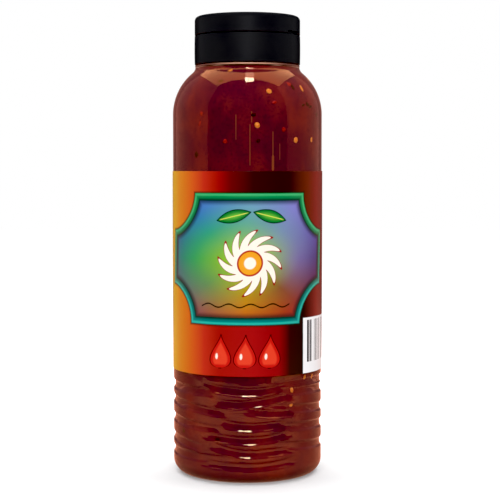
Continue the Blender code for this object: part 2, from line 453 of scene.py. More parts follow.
# %% [markdown]
# Chilli sauce
#
# The sauce is a deep red with browner clouds where the pulp is thicker, and a few thin runs of paler
# sauce down the wall. It touches the plastic, so it has no gloss of its own: the wall does the shining.

# %% Chilli sauce
# Azimuth in degrees, lowest and highest point in millimetres, and half the width, of each pale run
SAUCE_RUNS = (
    (-8.5, 178.2, 190.5, 0.35),
    (2.0, 165.2, 185.6, 0.35),
    (3.3, 187.0, 192.2, 0.40),
    (19.6, 162.5, 182.0, 0.45),
    (19.6, 163.0, 169.5, 1.00),
    (25.2, 168.0, 176.0, 0.35),
)


def chilli_sauce():
    made, shader, at = new_finish("chilli_sauce", Roughness=0.6)
    shader.inputs["Specular IOR Level"].default_value = 0.0
    x, y, z = at.axes()
    across = x.math("ARCTAN2", -y) * (BODY_RADIUS / MM)
    up = z / MM
    clouds = blotches(at, 14 * MM, 4.0, (1.0, 1.0, 1.6)).step(0.38, 0.68)
    grain = blotches(at, 1.6 * MM, 3.0).step(0.45, 0.75)
    colour = clouds.over(ink(84, 24, 42), ink(114, 38, 40))
    colour = (grain * 0.5).over(colour, ink(52, 20, 40))
    for azimuth, low, high, half in SAUCE_RUNS:
        aside = across - math.radians(azimuth) * BODY_RADIUS / MM
        beyond = most(up - high, low - up, 0.0)
        distance = (aside * aside + beyond * beyond) ** 0.5
        colour = (distance.step(half, half * 0.3) * 0.6).over(colour, ink(150, 84, 48))
    colour.into(shader, "Base Color")
    return made


CHILLI_SAUCE = chilli_sauce()
print("chilli sauce has", len(CHILLI_SAUCE.node_tree.nodes), "nodes")

# %% [markdown]
# The bottle and the sauce
#
# Wall and sauce share one outline and one set of grooves. The bottle is a single closed skin that runs
# up its inner side, over the rim of the mouth and down its outer side. The sauce reaches a little way
# into the wall, because an exact fit would leave a film of air that shines like silver.


# %% The bottle and the sauce
def pressed(outline, columns):
    """The outline carried round the axis, with the grip pressed in: radius - depth(azimuth, height)."""
    height = outline[:, 1:2]
    in_grip = (height > GRIP_BOTTOM) & (height <= GRIP_TOP) & (outline[:, 0:1] > NECK_RADIUS)
    depth = np.where(in_grip, grip_depth(columns[None, :], height), 0.0)
    return turned_points(outline[:, 0:1] - depth, height, columns[None, :])


def bottle():
    columns = columns_round(270)
    inner_mouth = MOUTH_RADIUS - WALL
    inside = body_outline(WALL, 1.2 * MM)[::-1]
    neck = [(NECK_RADIUS - WALL, NECK_TOP - WALL), (inner_mouth, NECK_TOP - WALL)]
    rim = [(inner_mouth, MOUTH_TOP), (MOUTH_RADIUS, MOUTH_TOP)]
    bead = arc((NECK_RADIUS - NECK_BEAD, NECK_TOP - NECK_BEAD), NECK_BEAD, 90, 0, 0.15 * MM)
    outside = body_outline(0.0, 0.22 * MM)
    below = outside[outside[:, 1] < NECK_TOP - NECK_BEAD]
    outline = chain(inside[1:], neck, rim, (MOUTH_RADIUS, NECK_TOP), bead, below[:-1])
    rings = pressed(outline, columns)
    points, faces = skin(rings, (0, 0, inside[0, 1]), (0, 0, outside[-1, 1]))
    return mesh_object("clear_bottle", points, faces, CLEAR_PLASTIC)


def sauce():
    columns = columns_round(288)
    side = body_outline(SAUCE_INSET, 0.35 * MM)
    side = side[side[:, 1] < SAUCE_LEVEL]
    level = straight((6 * MM, SAUCE_LEVEL), (side[0, 0], SAUCE_LEVEL), 4 * MM)
    rings = pressed(chain(level, side[:-1]), columns)
    points, faces = skin(rings, (0, 0, SAUCE_LEVEL), (0, 0, side[-1, 1]))
    return mesh_object("sauce_fill", points, faces, CHILLI_SAUCE)


def neck_ring():
    """The thick ring on which the cap's skirt lands. Its pale front is a painted highlight: its colour is palest in
    front and dark brown round the sides and back.
    """
    made, shader, at = new_finish("neck_ring", Roughness=0.3)
    x, y, z = at.axes()
    # Painted highlight: pale within 8 degrees of the front, fading to dark brown past 50 degrees.
    front = (x.math("ARCTAN2", -y) * math.degrees(1.0)).math("ABSOLUTE").step(50.0, 8.0)
    front.over(ink(84, 48, 40), ink(196, 146, 122)).into(shader, "Base Color")
    outer, half = NECK_RADIUS + 0.25 * MM, 0.5 * MM
    outline = chain(
        [(NECK_RADIUS - 0.2 * MM, NECK_TOP - 0.02 * MM)],
        arc((outer - half, NECK_TOP - 0.02 * MM - half), half, 90, -90, 0.15 * MM),
        [(NECK_RADIUS - 0.2 * MM, NECK_TOP - 0.02 * MM - 2 * half)],
    )
    rings = turned_points(outline[:, 0:1], outline[:, 1:2], columns_round(240)[None, :])
    points, faces = skin(rings, closed=True)
    return mesh_object("neck_ring", points, faces, made)


BOTTLE = bottle()
SAUCE = sauce()
RING = neck_ring()
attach(RING, "root")
for piece, node, slot in ((BOTTLE, "bottle", "clear_plastic"), (SAUCE, "sauce", "sauce")):
    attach(piece, "root")
    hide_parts(node)
    print(piece.name, "has", len(piece.data.polygons), "faces")

# %% [markdown]
# Seeds and flakes
#
# Chilli seeds are flat pale ovals about three millimetres long, and the flakes of skin and herbs among
# them are smaller and ragged. They float at all depths, but only those against the wall show. One small
# ball is computed once, then flattened, turned and set against the wall for every seed at the same time.

# %% Where things sit on the wall
rng = np.random.default_rng(7)
SAUCE_SIDE = body_outline(SAUCE_INSET, 0.35 * MM)


def wall_frames(azimuth, height):
    """Point, sideways, upward and outward directions of the sauce's surface at each azimuth and height."""
    order = np.argsort(SAUCE_SIDE[:, 1])
    heights, radii = SAUCE_SIDE[order, 1], SAUCE_SIDE[order, 0]
    step = 0.5 * MM
    radius = np.interp(height, heights, radii) - grip_depth(azimuth, height)
    slope = (np.interp(height + step, heights, radii) - np.interp(height - step, heights, radii)) / (2 * step)
    angle = np.radians(azimuth)
    out = np.stack([np.sin(angle), -np.cos(angle), np.zeros_like(angle)], axis=1)
    side = np.stack([np.cos(angle), np.sin(angle), np.zeros_like(angle)], axis=1)
    up = out * slope[:, None] + np.array([0, 0, 1.0])
    up /= np.linalg.norm(up, axis=1, keepdims=True)
    point = out * radius[:, None] + np.stack([0 * height, 0 * height, height], axis=1)
    return point, side, up, np.cross(side, up)


def ball(columns, rows):
    """Points and faces of a ball of radius 1: (sin p cos a, sin p sin a, cos p)."""
    angle = np.radians(columns_round(columns))
    polar = np.linspace(0, np.pi, rows + 2)[1:-1, None]
    rings = np.stack(
        np.broadcast_arrays(np.sin(polar) * np.sin(angle), -np.sin(polar) * np.cos(angle), np.cos(polar)),
        axis=-1,
    )
    return skin(rings, (0, 0, 1), (0, 0, -1))


def strewn(name, material, spots, shape, ragged=0.0):
    """One mesh of a ball at every spot (azimuth, height, half length, half width, half depth, spin).

    A ragged ball has each point moved in or out by up to that share."""
    points, faces = shape
    azimuth, height, long, wide, deep, spin = np.array(spots, float).T
    place, side, up, out = wall_frames(azimuth, height * MM)
    turn = np.radians(spin)[:, None]
    along = side * np.cos(turn) + up * np.sin(turn)
    across = up * np.cos(turn) - side * np.sin(turn)
    local = points[None] * (1 + ragged * rng.uniform(-1, 1, (len(place), len(points), 1)))
    local = local * (np.stack([long, deep, wide], axis=1) * MM)[:, None, :]
    world = place[:, None] + local[..., 0:1] * along[:, None] + local[..., 2:3] * across[:, None]
    world = world + local[..., 1:2] * out[:, None] * -1
    offsets = (np.arange(len(place)) * len(points))[:, None, None]
    grown = [(block[None] + offsets).reshape(-1, block.shape[1]) for block in faces]
    return mesh_object(name, world.reshape(-1, 3), grown, material, 60.0)


def scattered(count, low, high, long, wide, deep, spread=0.35):
    """Random spots round the bottle between two heights, each up to spread larger or smaller."""
    size = rng.uniform(1 - spread, 1 + spread, (count, 1))
    azimuth = rng.uniform(0, 360, (count, 1))
    height = rng.uniform(low, high, (count, 1))
    spin = rng.uniform(0, 180, (count, 1))
    return np.hstack([azimuth, height, long * size, wide * size, deep * np.ones_like(size), spin])


# %% Seeds, flakes and herbs
def speck_finish(name, first, second):
    """A speck's finish: two tones in tiny blotches, since no seed or flake is all one colour."""
    made, shader, at = new_finish(name, Roughness=0.5)
    shader.inputs["Specular IOR Level"].default_value = 0.1
    tone = blotches(at, 0.9 * MM, 2.0).step(0.35, 0.65)
    tone.over(ink(*first), ink(*second)).into(shader, "Base Color")
    return made


def hidden_side(spots, window=(-75.0, 75.0)):
    """The spots that aren't in this window of azimuths, where the chosen ones are."""
    azimuth = (spots[:, 0] + 180) % 360 - 180
    return spots[(azimuth < window[0]) | (azimuth > window[1])]


# Azimuth, height, half length, half width, half depth and spin of the pieces near the front
FRONT_SEEDS = (
    (7.5, 185.4, 1.6, 1.3, 0.7, 115.0),
    (39.6, 178.0, 1.6, 1.3, 0.7, 80.0),
    (17.5, 202.6, 1.5, 1.3, 0.7, 150.0),
    (51.0, 204.6, 1.9, 0.8, 0.7, 100.0),
    (58.3, 178.3, 1.4, 0.9, 0.6, 80.0),
    (37.2, 48.4, 1.6, 1.0, 0.6, 100.0),
    (50.5, 54.3, 1.3, 0.9, 0.6, 80.0),
    (61.0, 54.0, 1.4, 0.9, 0.6, 100.0),
    (36.4, 41.0, 1.4, 1.0, 0.6, 70.0),
    (-17.5, 213.4, 1.4, 0.9, 0.5, 40.0),
)
FRONT_FLAKES = (
    (-16.7, 177.2, 1.3, 1.2, 0.5, 20.0),
    (-37.0, 191.5, 1.2, 0.9, 0.5, 120.0),
    (38.0, 206.5, 1.6, 1.1, 0.5, 160.0),
    (28.5, 183.4, 1.2, 1.0, 0.5, 60.0),
    (21.0, 197.0, 1.3, 0.7, 0.5, 10.0),
    (-38.5, 186.5, 1.5, 0.5, 0.5, 70.0),
)
FRONT_HERBS = (
    (-23.5, 208.0, 1.4, 1.0, 0.5, 10.0),
    (40.5, 205.0, 1.0, 1.5, 0.5, 20.0),
    (4.5, 190.6, 1.3, 0.9, 0.5, 10.0),
    (53.0, 196.5, 1.4, 1.1, 0.5, 170.0),
    (57.0, 195.4, 1.6, 0.7, 0.5, 10.0),
    (48.0, 196.0, 1.2, 0.6, 0.5, 20.0),
    (-42.0, 170.5, 1.2, 1.5, 0.5, 0.0),
    (8.2, 177.4, 1.1, 0.8, 0.5, 40.0),
    (67.0, 191.5, 1.0, 1.4, 0.5, 0.0),
    (-58.5, 25.2, 1.4, 1.1, 0.5, 0.0),
    (-24.0, 23.0, 1.6, 1.4, 0.5, 60.0),
)

SEEDS = strewn(
    "seeds",
    speck_finish("seed", (212, 122, 46), (228, 146, 72)),
    np.vstack([FRONT_SEEDS, hidden_side(scattered(44, 163, 213, 1.6, 1.1, 0.65, 0.2))]),
    ball(14, 8),
)
FLAKES = strewn(
    "chilli_flakes",
    speck_finish("chilli_flake", (140, 26, 30), (160, 46, 36)),
    np.vstack([FRONT_FLAKES, hidden_side(scattered(60, 10, 213, 1.5, 0.9, 0.5))]),
    ball(9, 5),
    0.25,
)
HERBS = strewn(
    "herb_flecks",
    speck_finish("herb_fleck", (34, 12, 10), (58, 26, 16)),
    np.vstack([FRONT_HERBS, hidden_side(scattered(70, 10, 213, 1.2, 0.8, 0.5))]),
    ball(9, 5),
    0.25,
)
for piece in (SEEDS, FLAKES, HERBS):
    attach(piece, "root")
    print(piece.name, "has", len(piece.data.polygons), "faces")

# %% [markdown]
# The label's print
#
# The film is printed from edge to edge: a sunrise of yellow, orange and red that sinks into maroon, and
# on it a plaque with a bevelled border and a rainbow field. A picture file could hold it, but the print
# is only fields of colour and simple shapes, so each is a formula of the distance round the bottle and
# the height. A shape is the place where such a distance is below zero, so its edge stays sharp at any size.

# %% Places and sizes of the print
PLAQUE_MIDDLE = 117.0
PLAQUE_HALF_WIDTH = 50.7
PLAQUE_HALF_HEIGHT = 33.8
PLAQUE_CORNER = 19.6
PLAQUE_BORDER = 3.9
PRINT_LEAN = 0.045
DEGREES_ROUND = math.degrees(1.0) / (LABEL_RADIUS / MM)


def sunrise(azimuth, up):
    """The print's ground: a row of colours round the bottle, with its dark part further left on top."""
    stops = (
        (-180, (96, 14, 14)),
        (-128, (176, 40, 24)),
        (-100, (214, 118, 22)),
        (-76, (222, 176, 22)),
        (-62, (214, 132, 20)),
        (-44, (204, 84, 28)),
        (-34, (186, 46, 28)),
        (-22, (158, 26, 22)),
    )
    upper = ((-12, (104, 16, 12)), (4, (52, 14, 12)), (34, (40, 14, 13)), (52, (104, 34, 10)))
    lower = ((4, (160, 22, 24)), (24, (140, 18, 22)), (33, (44, 14, 14)), (47, (16, 12, 12)))
    ends = ((64, (126, 24, 16)), (100, (70, 14, 14)), (150, (54, 12, 14)), (180, (96, 14, 14)))
    place = (azimuth + 180.0) / 360.0
    ramps = []
    for middle in (lower, upper):
        colours = [((degrees + 180) / 360, ink(*colour)) for degrees, colour in (*stops, *middle, *ends)]
        ramps.append(place.node("ShaderNodeValToRGB", {0: place}, stops=colours))
    return up.step(92.0, 135.0).over(*ramps)


def plaque_distance(across, up):
    """Below zero inside a plaque whose corners are cut by circles: the largest of the distances past
    its sides, past its top and bottom, and into each corner's circle."""
    aside = abs(across) - PLAQUE_HALF_WIDTH
    above = abs(up - PLAQUE_MIDDLE) - PLAQUE_HALF_HEIGHT
    corner = PLAQUE_CORNER - (aside * aside + above * above) ** 0.5
    return most(aside, above, corner)


def rainbow(across, up):
    """The plaque's field: a ring of colours by direction, over another nearer in, over a bright middle."""
    right = across / PLAQUE_HALF_WIDTH
    above = (up - PLAQUE_MIDDLE) / PLAQUE_HALF_HEIGHT
    far = (right * right + above * above) ** 0.5
    turn = above.math("ARCTAN2", right) / (2 * math.pi) + 0.5
    outer = (
        (0.0, (14, 110, 128)),
        (0.09, (92, 92, 116)),
        (0.18, (150, 74, 66)),
        (0.25, (196, 82, 30)),
        (0.33, (158, 48, 32)),
        (0.42, (96, 26, 62)),
        (0.5, (50, 36, 112)),
        (0.58, (92, 76, 170)),
        (0.66, (128, 122, 200)),
        (0.75, (110, 150, 196)),
        (0.86, (48, 104, 190)),
        (0.94, (22, 100, 150)),
        (1.0, (14, 110, 128)),
    )
    inner = (
        (0.0, (56, 160, 80)),
        (0.12, (96, 140, 84)),
        (0.25, (176, 138, 30)),
        (0.36, (132, 84, 52)),
        (0.5, (120, 108, 160)),
        (0.64, (116, 140, 170)),
        (0.75, (92, 160, 140)),
        (0.88, (50, 158, 112)),
        (1.0, (56, 160, 80)),
    )
    rings = []
    for stops in (outer, inner):
        colours = [(place, ink(*colour)) for place, colour in stops]
        rings.append(turn.node("ShaderNodeValToRGB", {0: turn}, stops=colours))
    field = far.step(0.45, 1.05).over(rings[1], rings[0])
    return far.step(0.62, 0.05).over(field, ink(150, 186, 40))


# %% [markdown]
# The ornaments
#
# Ornaments fill the plaque in place of words: a cream sun with flame-shaped rays and a red edge, a pair
# of green leaves over it, and a dark wavy line below. Three drops of sauce lie in the band
# under the plaque. Each is drawn from the distance to its middle and the direction from it.


# %% Sun, leaves, drops and bars
def sun(colour, across, up, middle, reach):
    """A flaming sun. Its edge is r = reach * (0.62 + 0.38 * cos(rays * angle)), twisted with the radius."""
    aside, above = across - middle[0], up - middle[1]
    radius = (aside * aside + above * above) ** 0.5
    angle = above.math("ARCTAN2", aside) + radius * 0.07
    rays = (angle * 12.0).math("COSINE") * 0.5 + 0.5
    edge = (rays**0.7) * (0.46 * reach) + 0.54 * reach
    past = radius - edge
    colour = past.step(0.75, 0.45).over(colour, ink(150, 30, 26))
    colour = past.step(-0.15, -0.45).over(colour, ink(250, 240, 226))
    ring = abs(radius - 0.36 * reach)
    colour = ring.step(0.75, 0.45).over(colour, ink(176, 40, 28))
    colour = radius.step(0.36 * reach, 0.33 * reach).over(colour, ink(236, 160, 40))
    return radius.step(0.2 * reach, 0.16 * reach).over(colour, ink(250, 240, 226))


def leaf(colour, across, up, middle, length, width, turn):
    """A leaf along its own axis: half its width is width * (1 - share^2), with a paler rib."""
    cosine, sine = math.cos(math.radians(turn)), math.sin(math.radians(turn))
    aside, above = across - middle[0], up - middle[1]
    along = (aside * cosine + above * sine) / length
    away = abs(above * cosine - aside * sine)
    past = away - (1.0 - along * along) * width
    colour = past.step(0.45, 0.15).over(colour, ink(10, 44, 22))
    colour = past.step(-0.1, -0.4).over(colour, ink(24, 120, 46))
    colour = past.step(-0.6, -width).over(colour, ink(96, 180, 60))
    rib = most(away - 0.22, abs(along) - 0.8)
    return rib.step(0.1, -0.1).over(colour, ink(214, 214, 90))


def drop(colour, across, up, middle, size):
    """A drop: a disc whose top is drawn out, with half width size * sqrt(1 - t^2) * (1 - t) / 1.3."""
    aside, above = across - middle[0], up - middle[1]
    share = least(most(above / (size * 1.5), -0.999), 0.999)
    half = (1.0 - share * share) ** 0.5 * (1.0 - share) * (size / 1.3)
    past = most(abs(aside) - half, abs(above) - size * 1.5)
    colour = past.step(0.7, 0.1).over(colour, ink(30, 6, 8))
    colour = past.step(0.1, -0.2).over(colour, ink(196, 30, 26))
    colour = past.step(-1.0, -2.4).over(colour, ink(222, 66, 44))
    shine_x, shine_y = (aside + size * 0.36) / 0.9, (above + size * 0.45) / 1.9
    shine = (shine_x * shine_x + shine_y * shine_y) ** 0.5
    return shine.step(1.0, 0.6).over(colour, ink(252, 232, 220))


def bars(colour, azimuth, up):
    """A white patch with plain upright bars: every 0.4 mm step round the bottle is dark or white."""
    start, end = 46.5, 98.0
    patch = most(start - azimuth, azimuth - end, (up - 85.6) * DEGREES_ROUND)
    colour = patch.step(0.4, 0.0).over(colour, ink(246, 246, 248))
    step = (azimuth / (0.42 * DEGREES_ROUND)).math("FLOOR")
    chance = step.node("ShaderNodeTexWhiteNoise", {"W": step}, noise_dimensions="1D")
    field = most(51.0 - azimuth, azimuth - 94.0, (up - 84.4) * 2.0, (62.4 - up) * 2.0)
    dark = field.step(0.2, -0.2) * chance.step(0.5, 0.52)
    return dark.over(colour, ink(24, 24, 28))


def back_panel(colour, azimuth, up):
    """A cream panel on the back with plain ruled lines."""
    aside = abs(azimuth + 150.0) / DEGREES_ROUND - 24.0
    above = abs(up - 108.0) - 38.0
    past = (most(aside, 0.0) ** 2.0 + most(above, 0.0) ** 2.0) ** 0.5 - 3.0
    colour = past.step(1.6, 1.2).over(colour, ink(20, 92, 60))
    colour = past.step(0.2, -0.2).over(colour, ink(240, 228, 200))
    rows = ((up - 70.0) / 6.0).math("FRACT")
    rule = most(abs(rows - 0.5) * 6.0 - 0.35, aside + 2.0, above + 2.0)
    return rule.step(0.1, -0.1).over(colour, ink(150, 60, 40))


# %% The whole print
def printed_film():
    made, shader, at = new_finish("printed_film", Roughness=0.3, Specular_IOR_Level=0.15)
    x, y, z = at.axes()
    up = z / MM
    azimuth = x.math("ARCTAN2", -y) * math.degrees(1.0)
    across = azimuth / DEGREES_ROUND - (up - PLAQUE_MIDDLE) * PRINT_LEAN
    colour = sunrise(azimuth, up)
    past = plaque_distance(across, up)
    field = rainbow(across, up)
    high = up.step(86.0, 148.0)
    border = high.over(ink(0, 122, 118), ink(10, 132, 74))
    bright = high.over(ink(40, 176, 160), ink(64, 176, 110))
    depth = past / -PLAQUE_BORDER
    border = (depth.step(0.0, 0.14) * depth.step(0.5, 0.2)).over(border, bright)
    border = depth.step(0.5, 0.95).over(border, ink(0, 52, 40))
    colour = past.step(1.4, -0.2).over(colour, ink(14, 30, 16))
    colour = past.step(0.25, -0.25).over(colour, border)
    shade = depth.step(1.75, 1.0)
    field = (shade * 0.75).over(field, ink(8, 30, 34))
    colour = (past + PLAQUE_BORDER).step(0.2, -0.2).over(colour, field)
    colour = sun(colour, across, up, (1.5, 115.0), 17.0)
    for side in (-1.0, 1.0):
        colour = leaf(colour, across, up, (side * 9.5 + 1.5, 139.0), 9.0, 3.1, side * -14.0)
    wave = (across * 0.55).math("SINE") * 0.9
    line = most(abs(up - 93.2 - wave) - 0.32, abs(across) - 24.0)
    colour = line.step(0.2, -0.1).over(colour, ink(24, 14, 12))
    for place in (-12.0, 1.0, 14.0):
        colour = drop(colour, across, up, (place, 69.5), 5.6)
    colour = bars(colour, azimuth, up)
    colour = back_panel(colour, azimuth, up)
    colour.into(shader, "Base Color")
    return made


PRINTED_FILM = printed_film()
print("printed film has", len(PRINTED_FILM.node_tree.nodes), "nodes")

# %% [markdown]
# The label
#
# The label is a thin film, wrapped once round with a short overlap at the back, where its end makes a
# fine step. It is a sleeve of four sides, joined into one closed skin.


# %% The label
def label():
    columns = columns_round(360)
    seam, overlap_step = 168.0, 0.1 * MM
    turn = ((columns - seam) % 360) / 360
    outer = LABEL_RADIUS - overlap_step * (1 - turn)
    inner = BODY_RADIUS + 0.1 * MM
    rim = 0.04 * MM
    height = straight((0, LABEL_TOP - rim), (0, LABEL_BOTTOM + rim), 2 * MM)[:, 1]
    heights = np.concatenate([[LABEL_TOP], height, [LABEL_BOTTOM, LABEL_BOTTOM, LABEL_TOP]])[:, None]
    radii = np.broadcast_to(outer, (len(heights), len(columns))).copy()
    radii[[0, -3]] -= rim
    radii[-2:] = inner
    points, faces = skin(turned_points(radii, heights, columns[None, :]), closed=True)
    return mesh_object("label_film", points, faces, PRINTED_FILM)


LABEL = label()
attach(LABEL, "root")
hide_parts("label")
print(LABEL.name, "has", len(LABEL.data.polygons), "faces")

# %% [markdown]
# Black plastic
#
# The cap is moulded in a spark-eroded tool, so it has a fine satin grain. Where hands have held it the
# grain is a little smoother. Both are differences of roughness and of a very low bump.


# %% Black plastic
def black_plastic():
    made, shader, at = new_finish("black_plastic", Specular_IOR_Level=0.12)
    handled = blotches(at, 16 * MM, 3.0).step(0.3, 0.7)
    grain = blotches(at, 0.35 * MM, 1.0)
    (0.32 + handled * 0.08).into(shader, "Roughness")
    handled.over(ink(26, 26, 29), ink(29, 29, 31)).into(shader, "Base Color")
    bumps(grain, 0.012 * MM).into(shader, "Normal")
    return made


BLACK_PLASTIC = black_plastic()

# %% [markdown]
# The cap
#
# The skirt and the lid are two turned cups that meet at a fine seam. Their corners are rounded, because
# a moulded edge never is sharp, and a sharp one would catch no light. The thumb notch at the right front
# and the pocket for the hinge behind are places where the outer radius is pushed in.


# %% Rounded outlines and pockets
def rounded(corners):
    """An outline through corners (radius, height, rounding). A rounded corner becomes the arc that
    touches both its sides, swept from one touching point to the other."""
    points = np.array([corner[:2] for corner in corners])
    runs = [points[:1]]
    for before, here, after, rounding in zip(points, points[1:], points[2:], [c[2] for c in corners[1:]]):
        if rounding == 0:
            runs.append([here])
            continue
        back, ahead = (before - here), (after - here)
        back, ahead = back / np.linalg.norm(back), ahead / np.linalg.norm(ahead)
        half = math.acos(float(np.clip(back @ ahead, -1, 1))) / 2
        middle = here + (back + ahead) / np.linalg.norm(back + ahead) * rounding / math.sin(half)
        first = here + back * rounding / math.tan(half) - middle
        last = here + ahead * rounding / math.tan(half) - middle
        sweep = math.pi - 2 * half
        share = np.linspace(0, 1, 7)[:, None]
        runs.append(middle + (np.sin((1 - share) * sweep) * first + np.sin(share * sweep) * last) / math.sin(sweep))
    return chain(*runs, points[-1:])


def cut_finely(outline, step):
    """The outline with every run longer than step cut into equal parts."""
    runs = [straight(start, end, step) for start, end in zip(outline, outline[1:])]
    return chain(*runs)


def pushed_in(radius, height, columns, azimuth, width, low, high, floor):
    """The radius, no more than floor inside a pocket of this width between two heights."""
    blur = 0.25 * MM
    aside = np.abs((columns - azimuth + 180) % 360 - 180) * math.radians(1) * CAP_RADIUS - width / 2
    beyond = np.maximum(aside, np.maximum(low - height, height - high))
    mask = np.clip(0.5 - beyond / blur, 0, 1)
    return radius - mask * np.clip(radius - floor, 0, None)


# %% Skirt and lid
NOTCH_AZIMUTH = 60.0
HINGE_AZIMUTH = NOTCH_AZIMUTH + 180.0
HINGE_WIDTH = 15.0 * MM
HINGE_HEIGHT = 5.0 * MM
HINGE_FLOOR = CAP_RADIUS - 1.3 * MM


def cap_piece(name, corners, middles, pockets):
    """A cup of the cap: its rounded outline turned round the axis, with pockets pushed into it."""
    columns = columns_round(720)[None, :]
    outline = cut_finely(rounded(corners), 0.5 * MM)[1:-1]
    radius, height = outline[:, 0:1], outline[:, 1:2]
    for pocket in pockets:
        radius = pushed_in(radius, height, columns, *pocket)
    rings = turned_points(radius, height, columns)
    points, faces = skin(rings, (0, 0, middles[0]), (0, 0, middles[1]))
    return mesh_object(name, points, faces, BLACK_PLASTIC, 28.0)


def cap_skirt():
    inner = MOUTH_RADIUS + 0.3 * MM
    deck = SKIRT_TOP - 1.55 * MM
    waist = (SKIRT_BOTTOM + SKIRT_TOP) / 2
    corners = [
        (0.0, SKIRT_TOP, 0),
        (CAP_RADIUS, SKIRT_TOP, 0.3 * MM),
        (CAP_RADIUS + 0.2 * MM, waist, 240 * MM),
        (CAP_RADIUS, SKIRT_BOTTOM, 0.4 * MM),
        (inner, SKIRT_BOTTOM, 0.2 * MM),
        (inner, deck, 0.3 * MM),
        (0.0, deck, 0),
    ]
    hinge = (HINGE_AZIMUTH, HINGE_WIDTH, CAP_SEAM - HINGE_HEIGHT / 2, CAP_SEAM, HINGE_FLOOR)
    return cap_piece("cap_skirt_shell", corners, (SKIRT_TOP, deck), [hinge])


def cap_lid():
    inner = CAP_RADIUS - 2.6 * MM
    corners = [
        (0.0, CAP_TOP, 0),
        (CAP_RADIUS, CAP_TOP, 2.3 * MM),
        (CAP_RADIUS, LID_BOTTOM, 0.3 * MM),
        (inner, LID_BOTTOM, 0.2 * MM),
        (inner, CAP_TOP - 2.6 * MM, 0.5 * MM),
        (0.0, CAP_TOP - 2.6 * MM, 0),
    ]
    notch = (NOTCH_AZIMUTH, 10.0 * MM, 0.0, CAP_SEAM + 1.2 * MM, CAP_RADIUS - 1.5 * MM)
    hinge = (HINGE_AZIMUTH, HINGE_WIDTH, 0.0, CAP_SEAM + HINGE_HEIGHT / 2, HINGE_FLOOR)
    return cap_piece("cap_lid_shell", corners, (CAP_TOP, CAP_TOP - 2.6 * MM), [notch, hinge])


# %% The hinge strap
def hinge_strap():
    """A strap bent round the cap: a rounded box section, thinned in the middle, swept along an arc.

    The thinning is a groove of depth d * (1 - (height / half groove)^2)."""
    section = rounded(
        [
            (-0.3, 0.0, 0),
            (-0.3, 2.2, 0.12),
            (0.3, 2.2, 0.2),
            (0.3, -2.2, 0.2),
            (-0.3, -2.2, 0.12),
            (-0.3, 0.0, 0),
        ]
    )
    section = cut_finely(section, 0.15)[:-1] * MM
    thin = np.clip(1 - (section[:, 1] / (0.7 * MM)) ** 2, 0, None) * 0.3 * MM
    reach = math.degrees((HINGE_WIDTH / 2 - 0.3 * MM) / CAP_RADIUS)
    azimuth = np.radians(HINGE_AZIMUTH + np.linspace(-reach, reach, 25))[:, None]
    radius = HINGE_FLOOR + 0.6 * MM + (section[:, 0] - np.where(section[:, 0] > 0, thin, 0))[None, :]
    height = CAP_SEAM + section[None, :, 1]
    radius, height, azimuth = np.broadcast_arrays(radius, height, azimuth)
    rings = np.stack([radius * np.sin(azimuth), -radius * np.cos(azimuth), height], axis=-1)
    points, faces = skin(rings, rings[0].mean(axis=0), rings[-1].mean(axis=0))
    return mesh_object("cap_hinge_strap", points, faces, BLACK_PLASTIC)


SKIRT = cap_skirt()
LID = cap_lid()
STRAP = hinge_strap()
for piece, node in ((SKIRT, "cap_skirt"), (LID, "cap_lid"), (STRAP, "cap_hinge")):
    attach(piece, "root")
    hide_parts(node)
    print(piece.name, "has", len(piece.data.polygons), "faces")

# %% [markdown]
# The table
#
# The bottle stands on a pale table that fades into the white of the studio. What the bottle mirrors is
# the near part of that table, which ends in a round front edge before the lens. That edge is a shape one
# sees in the plastic. So the table is made as three sheets: one for the lens, one that throws soft light
# back up, and one for reflections that glows in place of a lit table: bright in front, with painted shade behind and
# a painted shadow round the bottle's foot.

# %% The table
TABLE_FRONT = 373 * MM
TABLE_REACH = 3.0


def flat_sheet(name, outline, height, material):
    """A flat sheet inside this outline of (x, y) points."""
    points = np.hstack([outline, np.full((len(outline), 1), height)])
    faces = [np.arange(len(outline))[None, :]]
    return mesh_object(name, points, faces, material)


def pale_table():
    """The seen table: a pale matt top that glows more with distance, and so fades into the white."""
    made, shader, at = new_finish("pale_table", Roughness=0.9)
    shader.inputs["Specular IOR Level"].default_value = 0.0
    x, y, z = at.axes()
    far = ((x * x + y * y) ** 0.5).step(0.1, 0.34)
    grain = blotches(at, 3 * MM, 3.0)
    grain.over(ink(240, 240, 241), ink(244, 244, 244)).into(shader, "Base Color")
    far.over((0.0, 0.0, 0.0, 1.0), (1.0, 1.0, 1.0, 1.0)).into(shader, "Emission Color")
    shader.inputs["Emission Strength"].default_value = 1.0
    return made


def soft_table():
    """The grey sheet that throws soft light back up."""
    made, shader, at = new_finish("soft_table", Roughness=0.9)
    shader.inputs["Specular IOR Level"].default_value = 0.0
    blotches(at, 3 * MM, 3.0).over(ink(176, 176, 176), ink(180, 180, 180)).into(shader, "Base Color")
    return made


def mirrored_table():
    """The sheet that the plastic mirrors, a glowing stand-in for the lit table. It glows most in front, with painted
    shade behind and a painted shadow round the bottle's foot.
    """
    made, shader, at = new_finish("mirrored_table", Roughness=0.9, Base_Color=(0.0, 0.0, 0.0, 1.0))
    shader.inputs["Specular IOR Level"].default_value = 0.0
    shader.inputs["Emission Strength"].default_value = 2.1
    x, y, z = at.axes()
    away = (x * x + y * y) ** 0.5
    # Painted shade and red bounce from the sauce: behind the front the glow is dimmer and redder.
    front = y.step(0.02, -0.12)
    colour = front.over((0.5, 0.18, 0.11, 1.0), (1.0, 0.62, 0.42, 1.0))
    # Painted shadow: within 36 mm of the axis the glow falls to 40 per cent, and it is back to full by 56 mm.
    foot = away.step(0.056, 0.036) * 0.6
    foot.over(colour, (0.0, 0.0, 0.0, 1.0)).into(shader, "Emission Color")
    return made


